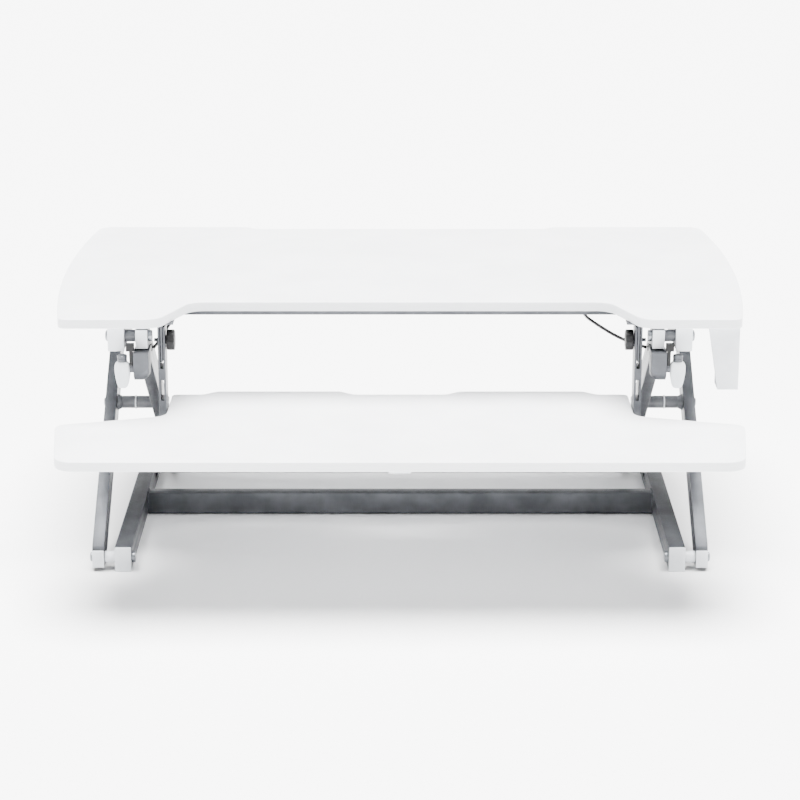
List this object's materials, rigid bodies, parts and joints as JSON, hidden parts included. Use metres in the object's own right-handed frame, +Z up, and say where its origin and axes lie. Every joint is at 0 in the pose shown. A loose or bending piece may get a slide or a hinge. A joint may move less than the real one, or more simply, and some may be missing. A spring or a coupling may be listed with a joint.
{
  "type": "standing desk converter",
  "caption": "Height-adjustable desktop riser on a scissor frame, with a lower keyboard tray, release levers and gas springs.",
  "frame": {"origin": "middle of the footprint box on the surface that the base rails stand on, at the shown height", "axes": "+Z up, -Y towards the user, +X to the user's right"},
  "size_m": [1.067, 0.85, 0.4045],
  "materials": {
    "board_laminate": "white matt laminate on board",
    "frame_paint": "pale grey powder coat",
    "cap_plastic": "moulded, fine texture",
    "spacer_plastic": "moulded",
    "slider_nylon": "machined nylon",
    "zinc_steel": "zinc plated",
    "cylinder_paint": "black satin",
    "rod_chrome": "polished",
    "lever_plastic": "moulded, fine texture",
    "black_plastic": "moulded, fine texture",
    "rubber": "matt",
    "cable_sheath": "satin"
  },
  "bodies": {
    "base": {"base_rail_left": "frame_paint", "base_rail_right": "frame_paint", "base_crossbar": "frame_paint", "base_front_caps": "cap_plastic", "base_rear_caps": "cap_plastic", "base_foot_pads": "rubber", "base_pivot_bolts": "zinc_steel", "base_pivot_nuts": "zinc_steel", "base_pivot_spacers": "cap_plastic"},
    "outer_legs": {"outer_leg_left": "frame_paint", "outer_leg_right": "frame_paint", "outer_leg_caps": "cap_plastic", "outer_leg_bushes": "slider_nylon", "upper_rear_axle": "zinc_steel", "centre_bolts": "zinc_steel", "centre_nuts": "zinc_steel", "centre_spacers": "spacer_plastic", "centre_washers": "cap_plastic", "centre_collars": "spacer_plastic"},
    "inner_legs": {"inner_leg_left": "frame_paint", "inner_leg_right": "frame_paint", "inner_leg_caps": "cap_plastic", "inner_leg_bushes": "slider_nylon", "lower_rear_axle": "zinc_steel", "inner_cross_tube": "frame_paint", "lever_brackets": "frame_paint", "cable_grommets": "rubber", "lever_return_springs": "zinc_steel"},
    "upper_carriage": {"upper_sliders": "slider_nylon", "gas_rods": "rod_chrome"},
    "lower_carriage": {"lower_sliders": "slider_nylon"},
    "top_frame": {"desktop_board": "board_laminate", "top_rail_left": "frame_paint", "top_rail_right": "frame_paint", "top_rail_front_caps": "cap_plastic", "top_rail_rear_caps": "cap_plastic", "top_front_tube": "frame_paint", "top_pivot_bolts": "zinc_steel", "top_pivot_nuts": "zinc_steel", "top_pivot_spacers": "spacer_plastic", "desktop_screws": "zinc_steel", "gas_cylinders": "cylinder_paint", "cylinder_brackets": "frame_paint", "release_valves": "cylinder_paint", "release_cable_left": "cable_sheath", "release_cable_right": "cable_sheath", "tray_hangers": "frame_paint", "headset_hook": "cap_plastic"},
    "tray": {"keyboard_tray_board": "board_laminate", "tray_arms": "frame_paint", "tray_feet": "frame_paint", "tray_screws": "zinc_steel", "tray_rest_pad": "cap_plastic"},
    "knob_left": {"tray_knob_left": "black_plastic"},
    "knob_right": {"tray_knob_right": "black_plastic"},
    "lever_left": {"lever_crank_left": "black_plastic", "lever_grip_left": "lever_plastic"},
    "lever_right": {"lever_crank_right": "black_plastic", "lever_grip_right": "lever_plastic"}
  },
  "joints": [
    {"name": "lift", "type": "hinge", "parent": "base", "child": "outer_legs", "pos_m": [0, -0.175, 0.02], "axis": [1, 0, 0], "range_deg": [-21, 12]},
    {"name": "centre_pivot", "type": "hinge", "parent": "outer_legs", "child": "inner_legs", "pos_m": [0, 0.07, 0.19575], "axis": [1, 0, 0], "range_deg": [-24, 42]},
    {"name": "top_pivot", "type": "hinge", "parent": "inner_legs", "child": "top_frame", "pos_m": [0, -0.175, 0.3715], "axis": [1, 0, 0], "range_deg": [-21, 12]},
    {"name": "upper_slider_turn", "type": "hinge", "parent": "outer_legs", "child": "upper_carriage", "pos_m": [0, 0.315, 0.3715], "axis": [1, 0, 0], "range_deg": [-12, 21]},
    {"name": "lower_slider_turn", "type": "hinge", "parent": "inner_legs", "child": "lower_carriage", "pos_m": [0, 0.315, 0.02], "axis": [1, 0, 0], "range_deg": [-21, 12]},
    {"name": "tray_height", "type": "slide", "parent": "top_frame", "child": "tray", "axis": [0, 0, 1], "range_m": [-0.022, 0]},
    {"name": "tray_knob_turn_left", "type": "hinge", "parent": "tray", "child": "knob_left", "pos_m": [-0.3435, -0.1525, 0.359], "axis": [1, 0, 0], "range_deg": [-180, 180]},
    {"name": "release_lever_left", "type": "hinge", "parent": "inner_legs", "child": "lever_left", "pos_m": [-0.4, -0.195, 0.327], "axis": [-1, 0, 0], "range_deg": [0, 18], "stiffness_Nm_per_rad": 2, "springref_deg": -8.59},
    {"name": "tray_knob_turn_right", "type": "hinge", "parent": "tray", "child": "knob_right", "pos_m": [0.3435, -0.1525, 0.359], "axis": [1, 0, 0], "range_deg": [-180, 180]},
    {"name": "release_lever_right", "type": "hinge", "parent": "inner_legs", "child": "lever_right", "pos_m": [0.4, -0.195, 0.327], "axis": [-1, 0, 0], "range_deg": [0, 18], "stiffness_Nm_per_rad": 2, "springref_deg": -8.59}
  ],
  "couplings": [
    {"joint": "centre_pivot", "follows": "lift", "ratio": -2},
    {"joint": "top_pivot", "follows": "lift", "ratio": 1},
    {"joint": "upper_slider_turn", "follows": "lift", "ratio": -1},
    {"joint": "lower_slider_turn", "follows": "lift", "ratio": 1}
  ]
}
